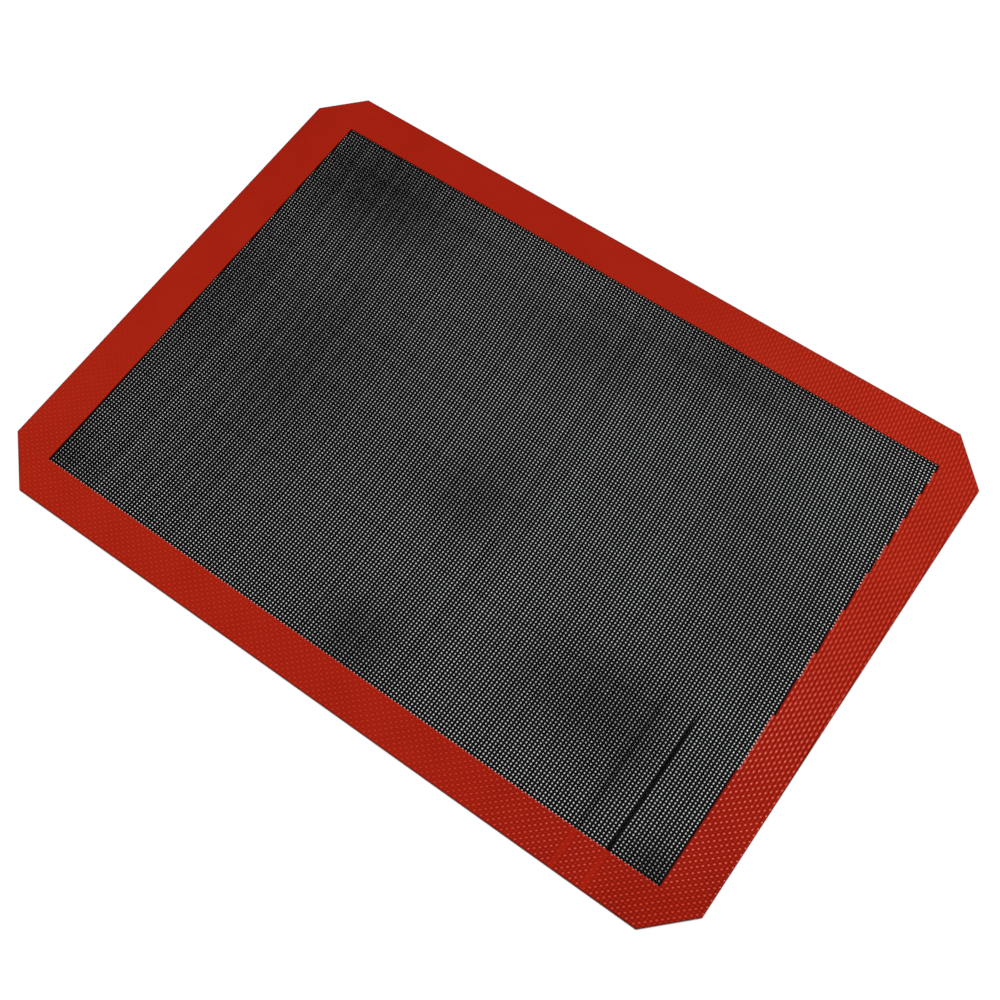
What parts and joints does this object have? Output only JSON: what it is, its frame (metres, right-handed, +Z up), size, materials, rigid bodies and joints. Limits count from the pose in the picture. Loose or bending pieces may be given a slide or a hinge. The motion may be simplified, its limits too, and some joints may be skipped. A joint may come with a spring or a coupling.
{
  "type": "silicone baking mat",
  "caption": "Flat perforated baking mat: open woven glass mesh coated in black silicone, with a red silicone border and cut corners. It lies on a tray and rolls up for storage.",
  "frame": {"origin": "on the surface that the mat lies on, under the middle of the mat", "axes": "+X along the long sides, towards the end that is rolled innermost; +Y across the width; +Z up out of the mat"},
  "size_m": [0.42, 0.295, 0.0009],
  "materials": {
    "glass_mesh": "woven glass yarn",
    "black_silicone": "satin",
    "red_silicone": "satin"
  },
  "bodies": {
    "strip_01": {"glass_mesh_01": "glass_mesh", "black_coat_01": "black_silicone", "red_border_01": "red_silicone"},
    "strip_02": {"glass_mesh_02": "glass_mesh", "black_coat_02": "black_silicone", "red_border_02": "red_silicone"},
    "strip_03": {"glass_mesh_03": "glass_mesh", "black_coat_03": "black_silicone", "red_border_03": "red_silicone"},
    "strip_04": {"glass_mesh_04": "glass_mesh", "black_coat_04": "black_silicone", "red_border_04": "red_silicone"},
    "strip_05": {"glass_mesh_05": "glass_mesh", "black_coat_05": "black_silicone", "red_border_05": "red_silicone"},
    "strip_06": {"glass_mesh_06": "glass_mesh", "black_coat_06": "black_silicone", "red_border_06": "red_silicone"},
    "strip_07": {"glass_mesh_07": "glass_mesh", "black_coat_07": "black_silicone", "red_border_07": "red_silicone"},
    "strip_08": {"glass_mesh_08": "glass_mesh", "black_coat_08": "black_silicone", "red_border_08": "red_silicone"},
    "strip_09": {"glass_mesh_09": "glass_mesh", "black_coat_09": "black_silicone", "red_border_09": "red_silicone"},
    "strip_10": {"glass_mesh_10": "glass_mesh", "black_coat_10": "black_silicone", "red_border_10": "red_silicone"},
    "strip_11": {"glass_mesh_11": "glass_mesh", "black_coat_11": "black_silicone", "red_border_11": "red_silicone"},
    "strip_12": {"glass_mesh_12": "glass_mesh", "black_coat_12": "black_silicone", "red_border_12": "red_silicone"},
    "strip_13": {"glass_mesh_13": "glass_mesh", "black_coat_13": "black_silicone", "red_border_13": "red_silicone"},
    "strip_14": {"glass_mesh_14": "glass_mesh", "black_coat_14": "black_silicone", "red_border_14": "red_silicone"},
    "strip_15": {"glass_mesh_15": "glass_mesh", "black_coat_15": "black_silicone", "red_border_15": "red_silicone"},
    "strip_16": {"glass_mesh_16": "glass_mesh", "black_coat_16": "black_silicone", "red_border_16": "red_silicone"},
    "strip_17": {"glass_mesh_17": "glass_mesh", "black_coat_17": "black_silicone", "red_border_17": "red_silicone"},
    "strip_18": {"glass_mesh_18": "glass_mesh", "black_coat_18": "black_silicone", "red_border_18": "red_silicone"},
    "strip_19": {"glass_mesh_19": "glass_mesh", "black_coat_19": "black_silicone", "red_border_19": "red_silicone"},
    "strip_20": {"glass_mesh_20": "glass_mesh", "black_coat_20": "black_silicone", "red_border_20": "red_silicone"}
  },
  "joints": [
    {"name": "bend_01", "type": "hinge", "parent": "strip_02", "child": "strip_01", "pos_m": [-0.18, 0, 0.0009], "axis": [0, 1, 0], "range_deg": [0, 18.98], "stiffness_Nm_per_rad": 0.008},
    {"name": "bend_02", "type": "hinge", "parent": "strip_03", "child": "strip_02", "pos_m": [-0.16, 0, 0.0009], "axis": [0, 1, 0], "range_deg": [0, 19.76], "stiffness_Nm_per_rad": 0.008},
    {"name": "bend_03", "type": "hinge", "parent": "strip_04", "child": "strip_03", "pos_m": [-0.14, 0, 0.0009], "axis": [0, 1, 0], "range_deg": [0, 20.54], "stiffness_Nm_per_rad": 0.008},
    {"name": "bend_04", "type": "hinge", "parent": "strip_05", "child": "strip_04", "pos_m": [-0.12, 0, 0.0009], "axis": [0, 1, 0], "range_deg": [0, 21.32], "stiffness_Nm_per_rad": 0.008},
    {"name": "bend_05", "type": "hinge", "parent": "strip_06", "child": "strip_05", "pos_m": [-0.1, 0, 0.0009], "axis": [0, 1, 0], "range_deg": [0, 22.1], "stiffness_Nm_per_rad": 0.008},
    {"name": "bend_06", "type": "hinge", "parent": "strip_07", "child": "strip_06", "pos_m": [-0.08, 0, 0.0009], "axis": [0, 1, 0], "range_deg": [0, 22.88], "stiffness_Nm_per_rad": 0.008},
    {"name": "bend_07", "type": "hinge", "parent": "strip_08", "child": "strip_07", "pos_m": [-0.06, 0, 0.0009], "axis": [0, 1, 0], "range_deg": [0, 23.66], "stiffness_Nm_per_rad": 0.008},
    {"name": "bend_08", "type": "hinge", "parent": "strip_09", "child": "strip_08", "pos_m": [-0.04, 0, 0.0009], "axis": [0, 1, 0], "range_deg": [0, 24.44], "stiffness_Nm_per_rad": 0.008},
    {"name": "bend_09", "type": "hinge", "parent": "strip_10", "child": "strip_09", "pos_m": [-0.02, 0, 0.0009], "axis": [0, 1, 0], "range_deg": [0, 25.22], "stiffness_Nm_per_rad": 0.008},
    {"name": "roll_up", "type": "hinge", "parent": "strip_10", "child": "strip_11", "pos_m": [0, 0, 0.0009], "axis": [0, -1, 0], "range_deg": [0, 26], "stiffness_Nm_per_rad": 0.008},
    {"name": "bend_11", "type": "hinge", "parent": "strip_11", "child": "strip_12", "pos_m": [0.02, 0, 0.0009], "axis": [0, -1, 0], "range_deg": [0, 26.78], "stiffness_Nm_per_rad": 0.008},
    {"name": "bend_12", "type": "hinge", "parent": "strip_12", "child": "strip_13", "pos_m": [0.04, 0, 0.0009], "axis": [0, -1, 0], "range_deg": [0, 27.56], "stiffness_Nm_per_rad": 0.008},
    {"name": "bend_13", "type": "hinge", "parent": "strip_13", "child": "strip_14", "pos_m": [0.06, 0, 0.0009], "axis": [0, -1, 0], "range_deg": [0, 28.34], "stiffness_Nm_per_rad": 0.008},
    {"name": "bend_14", "type": "hinge", "parent": "strip_14", "child": "strip_15", "pos_m": [0.08, 0, 0.0009], "axis": [0, -1, 0], "range_deg": [0, 29.12], "stiffness_Nm_per_rad": 0.008},
    {"name": "bend_15", "type": "hinge", "parent": "strip_15", "child": "strip_16", "pos_m": [0.1, 0, 0.0009], "axis": [0, -1, 0], "range_deg": [0, 29.9], "stiffness_Nm_per_rad": 0.008},
    {"name": "bend_16", "type": "hinge", "parent": "strip_16", "child": "strip_17", "pos_m": [0.12, 0, 0.0009], "axis": [0, -1, 0], "range_deg": [0, 30.68], "stiffness_Nm_per_rad": 0.008},
    {"name": "bend_17", "type": "hinge", "parent": "strip_17", "child": "strip_18", "pos_m": [0.14, 0, 0.0009], "axis": [0, -1, 0], "range_deg": [0, 31.46], "stiffness_Nm_per_rad": 0.008},
    {"name": "bend_18", "type": "hinge", "parent": "strip_18", "child": "strip_19", "pos_m": [0.16, 0, 0.0009], "axis": [0, -1, 0], "range_deg": [0, 32.24], "stiffness_Nm_per_rad": 0.008},
    {"name": "bend_19", "type": "hinge", "parent": "strip_19", "child": "strip_20", "pos_m": [0.18, 0, 0.0009], "axis": [0, -1, 0], "range_deg": [0, 33.02], "stiffness_Nm_per_rad": 0.008}
  ],
  "couplings": [
    {"joint": "bend_01", "follows": "roll_up", "ratio": 0.73},
    {"joint": "bend_02", "follows": "roll_up", "ratio": 0.76},
    {"joint": "bend_03", "follows": "roll_up", "ratio": 0.79},
    {"joint": "bend_04", "follows": "roll_up", "ratio": 0.82},
    {"joint": "bend_05", "follows": "roll_up", "ratio": 0.85},
    {"joint": "bend_06", "follows": "roll_up", "ratio": 0.88},
    {"joint": "bend_07", "follows": "roll_up", "ratio": 0.91},
    {"joint": "bend_08", "follows": "roll_up", "ratio": 0.94},
    {"joint": "bend_09", "follows": "roll_up", "ratio": 0.97},
    {"joint": "bend_11", "follows": "roll_up", "ratio": 1.03},
    {"joint": "bend_12", "follows": "roll_up", "ratio": 1.06},
    {"joint": "bend_13", "follows": "roll_up", "ratio": 1.09},
    {"joint": "bend_14", "follows": "roll_up", "ratio": 1.12},
    {"joint": "bend_15", "follows": "roll_up", "ratio": 1.15},
    {"joint": "bend_16", "follows": "roll_up", "ratio": 1.18},
    {"joint": "bend_17", "follows": "roll_up", "ratio": 1.21},
    {"joint": "bend_18", "follows": "roll_up", "ratio": 1.24},
    {"joint": "bend_19", "follows": "roll_up", "ratio": 1.27}
  ]
}
